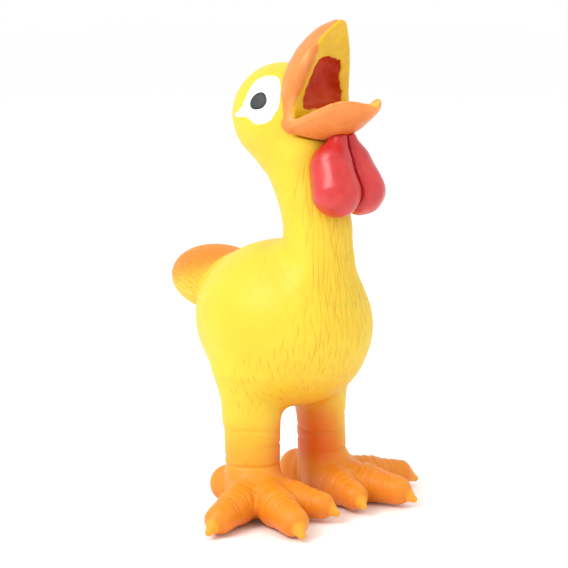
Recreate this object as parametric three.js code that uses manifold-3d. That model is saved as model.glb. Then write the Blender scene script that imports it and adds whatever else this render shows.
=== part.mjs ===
// Standing squeaky rubber chicken: a hollow moulded latex figure with a thrown-back
// head, gaping beak, two wattles, short thick legs and three-toed feet, a press-in
// squeaker under the rump and a wad of polyester fibre inside.
// Frame: +Z up, -Y the way the chicken faces, +X its left side, z = 0 under the soles.
import * as THREE from "three";
import { mergeVertices } from "three/addons/utils/BufferGeometryUtils.js";
import Module from "manifold-3d";

// ---------------------------------------------------------------- dimensions (mm)
const WALL = 2.0; // latex wall
const GAP = 0.35; // clearance between neighbouring pieces

// torso sections: [z, half width, front y, back y]
const TORSO = [
  [31.8, 6.0, -8.8, 3.0], [32.7, 10.4, -12.9, 6.9], [34.2, 14.8, -17.0, 11.2],
  [37.6, 19.8, -22.2, 16.2], [41.4, 22.4, -25.3, 19.5], [46, 23.9, -27.9, 23.4],
  [52, 25.3, -30.2, 27.0], [58, 26.1, -30.8, 28.4], [64, 25.3, -29.8, 28.0],
  [69, 23.3, -27.8, 25.9], [73, 20.7, -25.6, 22.9], [76.5, 17.2, -22.6, 18.7],
  [80.1, 12.7, -18.0, 13.0], [82.3, 7.7, -11.5, 6.8], [83.2, 2.4, -6.0, 1.5],
];
// neck sections: [z, centre y, half width]
const NECK = [
  [76.6, -16.0, 10.0], [80, -16.1, 10.4], [84, -16.5, 10.4], [88, -16.3, 10.3],
  [92, -15.2, 10.3], [96, -13.5, 10.4], [100, -11.5, 10.7], [101.5, -10.4, 10.8],
];
const NECK_PIVOT = [0, -16, 80], NECK_SOCKET = 12.4;
const NOD_PIVOT = [0, -9.8, 101], NOD_BALL = 10.9, NOD_SOCKET = 11.3;
const SKULL = { c: [0, -1.6, 121.2], r: [15.4, 15.6, 15.6] };
const FACE = { c: [0, -8.5, 121.0], r: [13.4, 8.5, 13.6] };
// upper beak sections: [z, rim y, half width, back y]
const UPPER = [
  [116, -15.5, 12.8, -6.4], [120.5, -18.2, 13.0, -6.2], [124, -18.6, 13.1, -6.1],
  [128.5, -18.3, 12.9, -6.1], [133, -19.4, 11.7, -6.6], [137.5, -20.9, 10.4, -8.6],
  [142.2, -22.9, 8.2, -13.1], [145.7, -24.6, 5.9, -17.4], [148.4, -26.2, 3.8, -21.4],
  [150.2, -27.4, 1.9, -25.0],
];
// lower beak sections: [y, rim z, half width, bottom z]
const LOWER = [
  [-39.9, 126.9, 1.6, 125.4], [-39.0, 127.2, 3.1, 124.0], [-37.9, 127.3, 4.9, 122.7],
  [-35.9, 127.2, 6.7, 120.9], [-33.5, 126.8, 8.2, 119.0], [-30.5, 126.0, 9.7, 117.2],
  [-26, 124.4, 11.5, 115.2], [-21, 122.6, 12.5, 114.2], [-16, 121.0, 12.9, 113.8],
  [-12.8, 120.4, 12.9, 113.8],
];
const BEAK_WALL = 2.2;
// outline of the red pocket in the upper beak's face: [x, z]
const POCKET = [
  [-3.8, 138.6], [-1.0, 139.8], [4.9, 138.3], [5.6, 137.1], [6.0, 133.0], [8.1, 128.9],
  [8.1, 125.0], [-5.6, 124.3], [-7.8, 125.2], [-6.7, 129.0], [-5.3, 133.4], [-4.6, 137.4],
];
const JAW_PIVOT = [0, -13, 119.2], JAW_R = 5.4;
const WATTLE = { c: [6.9, -30.4, 102.9], r: [6.5, 7.2, 10.2], top: [2.9, -29.4, 113.2] };
const TAIL = { c: [0, 29.9, 67.0], r: [12.8, 15.0, 10.6], lift: 22 };
const TAIL_PIVOT = [0, 21, 67.2], TAIL_SOCKET = 11.2;
const HIP = [15, -4, 37], HIP_BALL = 10.5, HIP_SOCKET = 11.0;
const ANKLE = [15, -4.4, 14], ANKLE_BALL = 8.6, ANKLE_SOCKET = 9.1;
// toes of the left foot: knuckle centres and radii, then the claw
const TOES = {
  outer: [[17, -7, 6.6, 7.2], [28, -12.3, 5.5, 6.3], [38.2, -16.9, 4.2, 4.8]],
  middle: [[16, -9, 6.6, 7.2], [19.6, -19, 5.6, 6.5], [22.2, -29.6, 4.3, 4.9]],
  inner: [[13, -8, 6.6, 6.8], [10.2, -16.5, 5.3, 5.9], [7.4, -25.6, 4.1, 4.6]],
  hind: [[15.5, -2, 8.0, 5.8], [16, 5.6, 8.4, 4.7]],
};
const CLAWS = {
  outer: [[39.6, -17.4, 5.0, 3.2], [44.3, -19.0, 1.9, 1.3]],
  middle: [[22.6, -31.0, 5.0, 3.2], [23.7, -34.5, 1.9, 1.3]],
  inner: [[7.0, -27.0, 4.8, 3.0], [6.0, -30.2, 1.8, 1.2]],
  hind: [[16.1, 8.2, 8.6, 2.6], [16.3, 11.2, 6.2, 1.4]],
};
// the middle toe of the right foot is a little longer and turned out more
const RIGHT_MIDDLE_TOE = [[16, -9, 6.6, 7.2], [20.7, -20, 5.6, 6.5], [24.9, -31.8, 4.3, 4.9]];
const RIGHT_MIDDLE_CLAW = [[25.5, -33.3, 5.0, 3.2], [27.0, -37.2, 1.8, 1.3]];
// flank press panels: a round patch of wall that a squeezing hand dents inwards
const FLANK = { centre: [0, -1.5, 57.6], tilt: 14, hole: 14.6, panel: 14.2 };
const FILL = { c: [0, -1, 58], r: [14, 14.5, 14] };
const SQUEAKER = { at: [0, 11.2, 34.6], tilt: 30, flange: 6.4, neck: 4.8, hole: 5.2 };

// ---------------------------------------------------------------- materials
const paint = (color, roughness) =>
  new THREE.MeshStandardMaterial({ color, roughness, metalness: 0 });
const YELLOW = paint(0xfbe252, 0.55);
const YELLOW_ORANGE = paint(0xf7b83a, 0.55);
const ORANGE = paint(0xf4a45c, 0.5);
const TAIL_ORANGE = paint(0xf2b43a, 0.6);
const RED = paint(0xdd3a3c, 0.3);
const DARK_RED = paint(0xb93419, 0.55);
const WHITE_PLASTIC = paint(0xe9e6dc, 0.35);
const CLEAR_PLASTIC = paint(0xd5dde0, 0.25);
const FIBRE = paint(0xf1efe8, 0.95);

// ---------------------------------------------------------------- solids
const wasm = await Module();
wasm.setup();

// A closed three.js geometry as a solid: shared vertices merged, empty triangles at
// poles dropped, faces turned outwards.
function solid(geometry) {
  const g = geometry.clone();
  for (const name of Object.keys(g.attributes))
    if (name !== "position") g.deleteAttribute(name);
  const merged = mergeVertices(g, 1e-4);
  const p = merged.attributes.position.array;
  const t = merged.index.array;
  const keep = [];
  let volume = 0;
  for (let i = 0; i < t.length; i += 3) {
    const [a, b, c] = [t[i], t[i + 1], t[i + 2]];
    if (a === b || b === c || c === a) continue;
    keep.push(a, b, c);
    const [A, B, C] = [a, b, c].map((k) => new THREE.Vector3().fromArray(p, 3 * k));
    volume += A.dot(B.cross(C));
  }
  if (volume < 0)
    for (let i = 0; i < keep.length; i += 3)
      [keep[i + 1], keep[i + 2]] = [keep[i + 2], keep[i + 1]];
  return new wasm.Manifold(
    new wasm.Mesh({ numProp: 3, vertProperties: new Float32Array(p), triVerts: new Uint32Array(keep) }),
  );
}
const join = (...parts) => parts.reduce((a, b) => a.add(b));
const cut = (a, ...tools) => tools.reduce((s, tool) => s.subtract(tool), a);
// The largest connected piece, so that no crumb is left beside a cut.
const largest = (s) =>
  s.decompose().reduce((a, b) => (b.volume() > a.volume() ? b : a));

function toMesh(name, s, material, group, mirrored = false) {
  const m = largest(s).getMesh();
  const xyz = new Float32Array((m.vertProperties.length / m.numProp) * 3);
  for (let i = 0; i < xyz.length / 3; i++)
    for (let k = 0; k < 3; k++)
      xyz[3 * i + k] = m.vertProperties[m.numProp * i + k] * (mirrored && k === 0 ? -1 : 1);
  const index = Array.from(m.triVerts);
  if (mirrored)
    for (let i = 0; i < index.length; i += 3)
      [index[i + 1], index[i + 2]] = [index[i + 2], index[i + 1]];
  const g = new THREE.BufferGeometry();
  g.setAttribute("position", new THREE.BufferAttribute(xyz, 3));
  g.setIndex(index);
  g.computeVertexNormals();
  const mesh = new THREE.Mesh(g, material);
  mesh.name = name;
  group.add(mesh);
  return mesh;
}

const ball = (c, r, w = 16, h = 10) => {
  const [rx, ry, rz] = Array.isArray(r) ? r : [r, r, r];
  return new THREE.SphereGeometry(1, w, h).rotateX(Math.PI / 2).scale(rx, ry, rz).translate(...c);
};
const block = (x0, x1, y0, y1, z0, z1) =>
  new THREE.BoxGeometry(x1 - x0, y1 - y0, z1 - z0)
    .translate((x0 + x1) / 2, (y0 + y1) / 2, (z0 + z1) / 2);

// A loft along Z: a lathe of unit radius whose rings are stretched to the sections
// [z, half width, front y, back y], with a smooth spline between the sections.
function loft(sections, sides = 32, steps = 1, inset = 0) {
  const place = new THREE.CatmullRomCurve3(
    sections.map(([z, , f, b]) => new THREE.Vector3(z, (f + b) / 2, 0)), false, "centripetal");
  const size = new THREE.CatmullRomCurve3(
    sections.map(([, a, f, b]) => new THREE.Vector3(a, (b - f) / 2, 0)), false, "centripetal");
  const n = (sections.length - 1) * steps;
  const profile = [new THREE.Vector2(0, 0)];
  for (let k = 0; k <= n; k++) profile.push(new THREE.Vector2(1, k));
  profile.push(new THREE.Vector2(0, n));
  const g = new THREE.LatheGeometry(profile, sides);
  const p = g.attributes.position;
  for (let i = 0; i < p.count; i++) {
    const t = p.getY(i) / n;
    const c = place.getPoint(t), s = size.getPoint(t);
    p.setXYZ(i,
      Math.max(s.x - inset, 0.2) * p.getX(i),
      c.y + Math.max(s.y - inset, 0.2) * p.getZ(i),
      c.x);
  }
  return g;
}

// A tapered round-ended limb from [x, y, z, radius] to [x, y, z, radius].
function limb(a, b, sides = 14, arc = 3, grow = 0) {
  const A = new THREE.Vector3(a[0], a[1], a[2]), B = new THREE.Vector3(b[0], b[1], b[2]);
  const axis = B.clone().sub(A), length = axis.length();
  const ra = a[3] + grow, rb = b[3] + grow, profile = [];
  for (let i = 0; i <= arc; i++) {
    const t = (Math.PI / 2) * (i / arc - 1);
    profile.push(new THREE.Vector2(i ? ra * Math.cos(t) : 0, ra * Math.sin(t)));
  }
  for (let i = 0; i <= arc; i++) {
    const t = (Math.PI / 2) * (i / arc);
    profile.push(new THREE.Vector2(i < arc ? rb * Math.cos(t) : 0, length + rb * Math.sin(t)));
  }
  return new THREE.LatheGeometry(profile, sides)
    .applyQuaternion(new THREE.Quaternion().setFromUnitVectors(
      new THREE.Vector3(0, 1, 0), axis.clone().normalize()))
    .translate(...a.slice(0, 3));
}

// An open trough: half a ring extruded along the sections and stretched to them.
// place(s, cos, sin, outer) gives the point of section parameter s.
function trough(n, place, solidFill = false, arcs = 7) {
  const shape = new THREE.Shape();
  shape.moveTo(1, 0);
  shape.absarc(0, 0, 1, 0, Math.PI, false);
  if (!solidFill) {
    shape.lineTo(-0.5, 0);
    shape.absarc(0, 0, 0.5, Math.PI, 0, true);
  }
  shape.closePath();
  const g = new THREE.ExtrudeGeometry(shape, { depth: 1, steps: n, bevelEnabled: false, curveSegments: arcs });
  const p = g.attributes.position;
  for (let i = 0; i < p.count; i++) {
    const x = p.getX(i), y = p.getY(i), r = Math.hypot(x, y);
    const [X, Y, Z] = place(p.getZ(i), x / r, y / r, r > 0.75);
    p.setXYZ(i, X, Y, Z);
  }
  return g;
}
const along = (sections) => {
  const a = new THREE.CatmullRomCurve3(
    sections.map((s) => new THREE.Vector3(s[0], s[1], s[2])), false, "centripetal");
  const b = new THREE.CatmullRomCurve3(
    sections.map((s) => new THREE.Vector3(s[0], s[1], s[3])), false, "centripetal");
  return (t) => {
    const u = a.getPoint(t), v = b.getPoint(t);
    return [u.x, u.y, u.z, v.z];
  };
};
const upperAt = along(UPPER), lowerAt = along(LOWER);
const upperBeak = (wall, grow = 0, fill = false) =>
  trough(UPPER.length - 1, (s, c, n, outer) => {
    const [z, rim, w, back] = upperAt(s);
    const half = Math.max(w + grow - (outer ? 0 : wall), 0.3);
    const deep = Math.max(back - rim + grow - (outer ? 0 : wall), 0.4);
    return [half * c, rim + deep * n, z + (s > 0.999 ? grow : 0)];
  }, fill);
const lowerBeak = (wall) =>
  trough(LOWER.length - 1, (s, c, n, outer) => {
    const [y, rim, w, bottom] = lowerAt(s);
    const half = Math.max(w - (outer ? 0 : wall), 0.3);
    const deep = outer ? rim - bottom : Math.max(Math.min(2.6, rim - bottom - 1.2), 0.3);
    return [half * c, y, rim - deep * n];
  });

// ---------------------------------------------------------------- the figure
const chicken = new THREE.Group();
chicken.name = "squeaky_chicken";

// Squeaker seat: local +Z runs from the outer face of the flange into the body.
const squeakerFrame = new THREE.Matrix4().compose(
  new THREE.Vector3(...SQUEAKER.at),
  new THREE.Quaternion().setFromAxisAngle(new THREE.Vector3(1, 0, 0), THREE.MathUtils.degToRad(SQUEAKER.tilt)),
  new THREE.Vector3(1, 1, 1));
const rod = (r, z0, z1, sides = 18) =>
  new THREE.CylinderGeometry(r, r, z1 - z0, sides).rotateX(Math.PI / 2).translate(0, 0, (z0 + z1) / 2);

// Flank axis: out of the side and a little up.
const flankTilt = THREE.MathUtils.degToRad(FLANK.tilt);
const flankTool = (r, side) => {
  const g = new THREE.CylinderGeometry(r, r, 40, 20).rotateZ(Math.PI / 2).translate(20 + 8, 0, 0);
  g.rotateY(-flankTilt);
  g.translate(...FLANK.centre);
  if (side < 0) g.scale(-1, 1, 1);
  return g;
};

// torso: hollow, open at the neck, hips, tail, flanks and squeaker port
{
  const outer = solid(loft(TORSO, 24, 1));
  const hollow = solid(loft(TORSO.map(([z, a, f, b], i) =>
    [z + (i < 3 ? WALL : i > TORSO.length - 4 ? -WALL : 0), a, f, b]).filter((s, i) => i % 2 === 0), 16, 1, WALL));
  let wall = cut(outer, hollow);
  const seat = solid(rod(SQUEAKER.flange + GAP, -8, 1.0 + GAP).applyMatrix4(squeakerFrame));
  const port = solid(rod(SQUEAKER.hole, -8, 6).applyMatrix4(squeakerFrame));
  // a thick lip round the squeaker port grips the squeaker's neck
  const lip = solid(rod(7.6, 1.0 + GAP, 3.0).applyMatrix4(squeakerFrame)).intersect(outer);
  const room = solid(rod(6.4, 3.1, 9).applyMatrix4(squeakerFrame));
  wall = cut(join(wall, lip), seat, port, room);
  wall = cut(wall,
    solid(ball(NECK_PIVOT, NECK_SOCKET)),
    solid(limb([...TAIL_PIVOT, TAIL_SOCKET + 1], [0, 33, 70.3, 19], 18)),
    solid(limb([...TAIL_PIVOT, TAIL_SOCKET + 1], [0, 34, 63, 18], 18)),
    solid(flankTool(FLANK.hole, 1)), solid(flankTool(FLANK.hole, -1)));
  for (const side of [1, -1])
    wall = cut(wall,
      solid(ball([HIP[0] * side, HIP[1], HIP[2]], HIP_SOCKET)),
      solid(limb([HIP[0] * side, HIP[1], HIP[2], 10.4], [HIP[0] * side, HIP[1], HIP[2] - 14, 12.6], 14)));
  toMesh("torso_skin", wall, YELLOW, chicken);
  for (const [name, side] of [["left_flank_panel", 1], ["right_flank_panel", -1]])
    toMesh(name, cut(outer, hollow).intersect(solid(flankTool(FLANK.panel, side))), YELLOW, chicken);
}

// neck: a hollow bent tube with a spherical foot and a ball top
{
  const sections = NECK.map(([z, y, r]) => [z, r, y - r, y + r]);
  const tube = join(solid(loft(sections, 18, 1)), solid(ball(NOD_PIVOT, NOD_BALL, 18, 10)));
  const bore = join(
    solid(loft([[72, 10, -26, -6], ...sections.filter((s, i) => i % 2 === 1)], 12, 1, WALL)),
    solid(ball(NOD_PIVOT, NOD_BALL - WALL, 12, 6)),
    solid(ball([0, -8.2, 108], 6.0, 12, 8)));
  toMesh("neck_skin", cut(tube, bore), YELLOW, chicken);
}

// head: skull and face shell, open below to the neck and in front for the beak
{
  const outer = join(solid(ball(SKULL.c, SKULL.r, 22, 14)), solid(ball(FACE.c, FACE.r, 16, 10)));
  const inner = solid(ball(SKULL.c, SKULL.r.map((r) => r - WALL), 14, 8));
  const mouthProfile = new THREE.Shape(
    [[-34, 112.4], [-13, 112.9], [-7.2, 116], [-7.2, 122.6], [-13, 125.3], [-19.5, 126.4], [-34, 134]]
      .map(([y, z]) => new THREE.Vector2(y, z)));
  const mouth = new THREE.ExtrudeGeometry(mouthProfile, { depth: 40, bevelEnabled: false })
    .applyMatrix4(new THREE.Matrix4().makeBasis(
      new THREE.Vector3(0, 1, 0), new THREE.Vector3(0, 0, 1), new THREE.Vector3(1, 0, 0)))
    .translate(-20, 0, 0);
  const mouthTool = solid(mouth);
  const shell = cut(outer, inner, solid(ball(NOD_PIVOT, NOD_SOCKET, 18, 10)), mouthTool,
    solid(upperBeak(BEAK_WALL, GAP, true)), solid(block(-20, 20, -30, -13.2, 112.5, 140)));
  toMesh("head_skin", shell, YELLOW, chicken);

  // the gape's flat face holds a shallow red pocket
  const pocket = (k, depth) => {
    const g = new THREE.ExtrudeGeometry(new THREE.Shape(POCKET.map(([x, z]) =>
      new THREE.Vector2(0.1 + (x - 0.1) * k, 131 + (z - 131) * k))), { depth: 1, bevelEnabled: false });
    const p = g.attributes.position;
    for (let i = 0; i < p.count; i++) {
      const x = p.getX(i), z = p.getY(i);
      p.setXYZ(i, x, p.getZ(i) > 0.5 ? -40 : depth - 18.4 - 0.235 * (z - 124.5), z);
    }
    return solid(g);
  };
  toMesh("upper_beak", cut(solid(upperBeak(BEAK_WALL, 0, true)), mouthTool, pocket(1.14, 4.5)), ORANGE, chicken);

  const face = cut(solid(upperBeak(BEAK_WALL, 0, true)), mouthTool);
  const cup = cut(pocket(1.1, 4.2), pocket(1, 3.2)).intersect(face);
  toMesh("mouth_recess", cup, DARK_RED, chicken);

  // lower beak with a round heel on the jaw axis
  const heel = new THREE.CylinderGeometry(JAW_R, JAW_R, 25.4, 18).rotateZ(Math.PI / 2).translate(...JAW_PIVOT);
  const lower = join(solid(lowerBeak(2.4)), solid(heel).intersect(solid(block(-14, 14, -20, 0, 110, 121.2))));
  toMesh("lower_beak", lower, ORANGE, chicken);
}

// wattles: soft solid lobes that taper up to the underside of the lower beak
for (const [name, side] of [["left_wattle", 1], ["right_wattle", -1]]) {
  const { c, r, top } = WATTLE;
  const lobe = join(solid(ball(c, r, 16, 10)),
    solid(limb([top[0], top[1], top[2], 2.3], [4.9, -30.1, 108.0, 4.3], 10)));
  toMesh(name, lobe, RED, chicken, side < 0);
}

// tail: a hollow rounded paddle, open at its root
{
  const at = (r, w, h) => new THREE.SphereGeometry(1, w, h).rotateX(Math.PI / 2).scale(...r)
    .rotateX(THREE.MathUtils.degToRad(TAIL.lift)).translate(...TAIL.c);
  const bore = new THREE.CylinderGeometry(5, 5, 16, 12)
    .rotateX(THREE.MathUtils.degToRad(TAIL.lift)).translate(0, 19, 62.9);
  const paddle = cut(solid(at(TAIL.r, 20, 12)), solid(at(TAIL.r.map((v) => v - WALL), 12, 7)), solid(bore));
  // in front of the rump it keeps inside its round socket
  const keep = join(solid(ball(TAIL_PIVOT, TAIL_SOCKET - 0.4, 16, 10)), solid(block(-20, 20, 24.4, 60, 40, 90)));
  toMesh("tail", paddle.intersect(keep), TAIL_ORANGE, chicken);
}

// legs and feet
for (const [word, side] of [["left", 1], ["right", -1]]) {
  const outer = join(
    solid(ball(HIP, HIP_BALL)),
    solid(limb([15.1, -3.7, 36.2, 9.2], [15.6, -3.2, 30, 7.9], 14)),
    solid(limb([15.6, -3.2, 30, 7.7], [15.4, -3.8, 14.2, 7.5], 14)),
    solid(limb([13.6, -5.4, 33, 7.2], [14.4, -5.2, 14.2, 7.3], 14)),
    solid(ball(ANKLE, ANKLE_BALL)));
  const bore = solid(limb([15.2, -4, 52, 5.4], [15.2, -4.2, 16, 5.2], 10));
  toMesh(word + "_leg", cut(outer, bore), YELLOW_ORANGE, chicken, side < 0);

  const toes = [];
  for (const key of Object.keys(TOES)) {
    const longer = side < 0 && key === "middle";
    const chain = longer ? RIGHT_MIDDLE_TOE : TOES[key];
    const claw = longer ? RIGHT_MIDDLE_CLAW : CLAWS[key];
    for (let i = 0; i + 1 < chain.length; i++) toes.push(solid(limb(chain[i], chain[i + 1], 10, 2)));
    toes.push(solid(limb(claw[0], claw[1], 7, 2)));
  }
  const foot = join(solid(ball([16.2, -7.4, 6.8], [8.9, 8.9, 7.6], 14, 8)), ...toes);
  const ankle = solid(ball(ANKLE, ANKLE_SOCKET, 16, 10));
  const above = solid(limb([ANKLE[0], ANKLE[1], ANKLE[2], 9.1], [ANKLE[0], ANKLE[1], 26, 11.5], 12));
  toMesh(word + "_foot",
    cut(foot, ankle, above, solid(block(-60, 60, -60, 60, -20, 0))),
    YELLOW_ORANGE, chicken, side < 0);
}

// fibre wad
toMesh("fibre_filling", solid(ball(FILL.c, FILL.r, 16, 10)), FIBRE, chicken);

// squeaker: barrel, dust grille, reed bed, reed, wedge and end cap
{
  const squeaker = new THREE.Group();
  squeaker.position.set(...SQUEAKER.at);
  squeaker.rotation.x = THREE.MathUtils.degToRad(SQUEAKER.tilt);
  chicken.add(squeaker);
  const profile = [[3.5, 0], [SQUEAKER.flange, 0], [SQUEAKER.flange, 1.0], [SQUEAKER.neck, 1.0],
    [SQUEAKER.neck, 3.45], [5.8, 3.7], [4.6, 5.4], [4.6, 9], [3.5, 9], [3.5, 0]]
    .map(([r, z]) => new THREE.Vector2(r, z));
  const barrel = new THREE.LatheGeometry(profile, 20).rotateX(Math.PI / 2);
  toMesh("squeaker_barrel", solid(barrel), WHITE_PLASTIC, squeaker);
  const R = 3.5 - 0.3;
  const holes = [0, 1, 2, 3, 4].map((k) => {
    const a = (k * 2 * Math.PI) / 5;
    return solid(rod(0.55, -1, 3, 8).translate(1.8 * Math.cos(a), 1.8 * Math.sin(a), 0));
  });
  toMesh("squeaker_grille", cut(solid(rod(R, 0.2, 1.0)), ...holes, solid(rod(0.55, -1, 3, 8))), WHITE_PLASTIC, squeaker);
  const bed = solid(rod(R, 1.6, 7.2)).intersect(solid(block(-5, 5, -5, -0.5, 0, 10)));
  const slot = solid(block(-1.2, 1.2, -2.2, 0, 1, 5.4));
  toMesh("squeaker_reed_bed", cut(bed, slot), WHITE_PLASTIC, squeaker);
  toMesh("squeaker_reed", solid(block(-1.7, 1.7, -0.15, 0.15, 1.9, 7.0)), CLEAR_PLASTIC, squeaker);
  toMesh("squeaker_reed_wedge",
    solid(rod(R, 5.6, 7.2)).intersect(solid(block(-5, 5, 0.5, 5, 0, 10))), WHITE_PLASTIC, squeaker);
  const cap = join(solid(rod(R, 7.6, 9.6)), solid(rod(4.5, 9.3, 10.1)));
  toMesh("squeaker_end_cap", cut(cap, solid(rod(1.1, 7, 11, 16))), WHITE_PLASTIC, squeaker);
}

// the origin is under the middle of the bounding box
chicken.position.y = -2.231;
const figure = new THREE.Group();
figure.name = "squeaky_chicken_on_origin";
figure.add(chicken);

export default figure;
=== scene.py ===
"""Standing squeaky rubber chicken: the moulded latex skin over the CAD frame.

All shapes are worked out in millimetres (+X the chicken's left, -Y its front, +Z up)
about the legs, then moved back by SHIFT_Y and turned into metres when a mesh is made.
"""

import math

import bpy
import numpy as np
from mathutils import Matrix, Vector, geometry, kdtree


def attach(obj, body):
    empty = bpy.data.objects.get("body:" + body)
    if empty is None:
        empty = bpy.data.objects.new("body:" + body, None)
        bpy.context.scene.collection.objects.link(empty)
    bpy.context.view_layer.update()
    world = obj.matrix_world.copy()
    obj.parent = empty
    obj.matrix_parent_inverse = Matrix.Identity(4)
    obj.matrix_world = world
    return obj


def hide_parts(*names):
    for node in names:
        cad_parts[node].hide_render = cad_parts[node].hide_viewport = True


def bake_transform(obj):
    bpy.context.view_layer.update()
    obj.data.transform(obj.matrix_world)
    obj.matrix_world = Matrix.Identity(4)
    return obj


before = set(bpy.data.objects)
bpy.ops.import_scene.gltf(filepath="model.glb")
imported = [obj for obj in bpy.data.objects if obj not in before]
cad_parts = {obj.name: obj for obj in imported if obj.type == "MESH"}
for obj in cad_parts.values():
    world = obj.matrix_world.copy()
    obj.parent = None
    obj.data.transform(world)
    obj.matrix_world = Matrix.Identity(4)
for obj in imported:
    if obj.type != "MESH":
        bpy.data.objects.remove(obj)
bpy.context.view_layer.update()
MM = 0.001
SHIFT_Y = -2.231
RNG = np.random.default_rng(7)


# ---------------------------------------------------------------- distance fields
def length(v):
    return np.sqrt((v * v).sum(-1))


def smin(a, b, k):
    h = np.clip(0.5 + 0.5 * (b - a) / k, 0, 1)
    return b * (1 - h) + a * h - k * h * (1 - h)


def smax(a, b, k):
    return -smin(-a, -b, k)


def sstep(a, b, x):
    t = np.clip((x - a) / (b - a), 0, 1)
    return t * t * (3 - 2 * t)


def ell(p, c, r, tilt=0.0):
    """Ellipsoid, turned about X by tilt degrees (positive lifts its front end)."""
    q = p - np.array(c, float)
    if tilt:
        t = math.radians(tilt)
        cs, sn = math.cos(t), math.sin(t)
        q = np.stack(
            [q[..., 0], q[..., 1] * cs - q[..., 2] * sn, q[..., 1] * sn + q[..., 2] * cs], -1
        )
    r = np.array(r, float)
    k0 = length(q / r) + 1e-9
    k1 = length(q / (r * r)) + 1e-9
    return k0 * (k0 - 1) / k1


def cone(p, a, b, ra, rb):
    """Tapered rod with round ends."""
    a, b = np.array(a, float), np.array(b, float)
    d = b - a
    t = np.clip(((p - a) @ d) / (d @ d), 0, 1)
    return length(p - (a + t[..., None] * d)) - (ra + (rb - ra) * t)


def mirror(p):
    q = p.copy()
    q[..., 0] = np.abs(q[..., 0])
    return q


def torso(p):
    f = ell(p, (0, -1.5, 58.3), (26.1, 26.8, 25.2))
    f = smin(f, ell(p, (0, -12, 56), (20.0, 17.0, 18.5)), 6)
    f = smin(f, ell(p, (0, -3, 46), (21.5, 19.5, 12.4)), 6)
    return smin(f, ell(p, (0, 10, 60), (18, 17.6, 17)), 6)


NECK = [
    ((0, -13, 75), 11.5), ((0, -16.0, 81), 10.0), ((0, -16.6, 88), 9.6), ((0, -15.2, 93.5), 9.3),
    ((0, -13.9, 97.4), 9.1), ((0, -12.2, 101.2), 9.2), ((0, -10.2, 105.4), 9.6), ((0, -7.0, 110), 10.9),
]


def chain(p, links, k):
    f = None
    for (a, ra), (b, rb) in zip(links, links[1:]):
        g = cone(p, a, b, ra, rb)
        f = g if f is None else smin(f, g, k)
    return f


def skull(p):
    f = ell(p, (0, -1.6, 121.6), (15.4, 15.6, 15.8))
    f = smin(f, ell(p, (0, -8.5, 121.0), (14.2, 11.5, 13.9)), 3)
    f = smin(f, ell(p, (0, -13.6, 112.0), (10.8, 8.4, 8.0)), 3)
    return smax(f, np.where(p[..., 2] > 116.4, -16.5, -16.5 - 3.0 * (116.4 - p[..., 2])) - p[..., 1], 0.8)


def tail(p):
    return ell(p, (0, 27.2, 68.2), (13.4, 18.2, 10.6), -3)


def leg(p):
    q = mirror(p)
    f = cone(q, (15.2, -2.4, 44), (15.5, -2.2, 31), 10.4, 7.8)
    f = smin(f, cone(q, (15.5, -2.1, 31), (15.6, -2.7, 13), 7.5, 7.4), 2)
    return smin(f, cone(q, (13.6, -4.9, 34), (14.4, -5.0, 13), 6.7, 6.8), 2)


TOES = {
    "outer": [((17, -6.3, 6.6), 7.0), ((28.8, -10.7, 6.0), 5.4), ((39.0, -14.6, 4.8), 4.4)],
    "middle": [((16, -9, 6.6), 6.9), ((19.4, -19, 6.1), 5.7), ((22.2, -29.6, 5.2), 4.5)],
    "inner": [((13, -8, 6.6), 6.4), ((10.2, -16.5, 6.0), 5.3), ((7.4, -25.4, 5.3), 4.2)],
    "hind": [((15.5, -2, 8.0), 5.8), ((15.0, 7.4, 7.3), 5.9)],
}
CLAW = {
    "outer": ((39.6, -14.8, 5.3), (44.8, -16.4, 2.4), 3.4, 1.1),
    "middle": ((22.4, -30.4, 5.6), (23.8, -35.0, 3.0), 3.4, 1.1),
    "inner": ((7.1, -26.3, 5.6), (5.9, -30.6, 3.4), 3.2, 1.1),
    "hind": ((15.0, 10.0, 7.0), (15.0, 12.6, 5.2), 3.6, 2.2),
}
# the right foot's middle toe is a little longer and turned out more
RIGHT_TOES = dict(TOES, middle=[((16, -9, 6.6), 6.9), ((20.5, -20, 6.0), 5.7), ((24.9, -31.6, 4.9), 4.5)])
RIGHT_CLAW = dict(CLAW, middle=((25.2, -32.4, 5.3), (27.1, -37.4, 2.2), 3.4, 1.1))


def by_side(p, left, right):
    """left(q) where x > 0 and right(q) elsewhere, both on the mirrored points."""
    q = mirror(p)
    out = np.empty(p.shape[:-1])
    on = p[..., 0] > 0
    if on.any():
        out[on] = left(q[on])
    if (~on).any():
        out[~on] = right(q[~on])
    return out


def one_foot(q, toes):
    f = ell(q, (15.8, -6.0, 7.0), (8.4, 8.4, 8.0))
    for links in toes.values():
        f = smin(f, chain(q, links, 2), 1.6)
    return f


def foot(p):
    return by_side(p, lambda q: one_foot(q, TOES), lambda q: one_foot(q, RIGHT_TOES))


def one_claws(q, claw):
    f = None
    for a, b, ra, rb in claw.values():
        g = cone(q, a, b, ra, rb)
        f = g if f is None else np.minimum(f, g)
    return f


def claws(p):
    return by_side(p, lambda q: one_claws(q, CLAW), lambda q: one_claws(q, RIGHT_CLAW))


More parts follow.
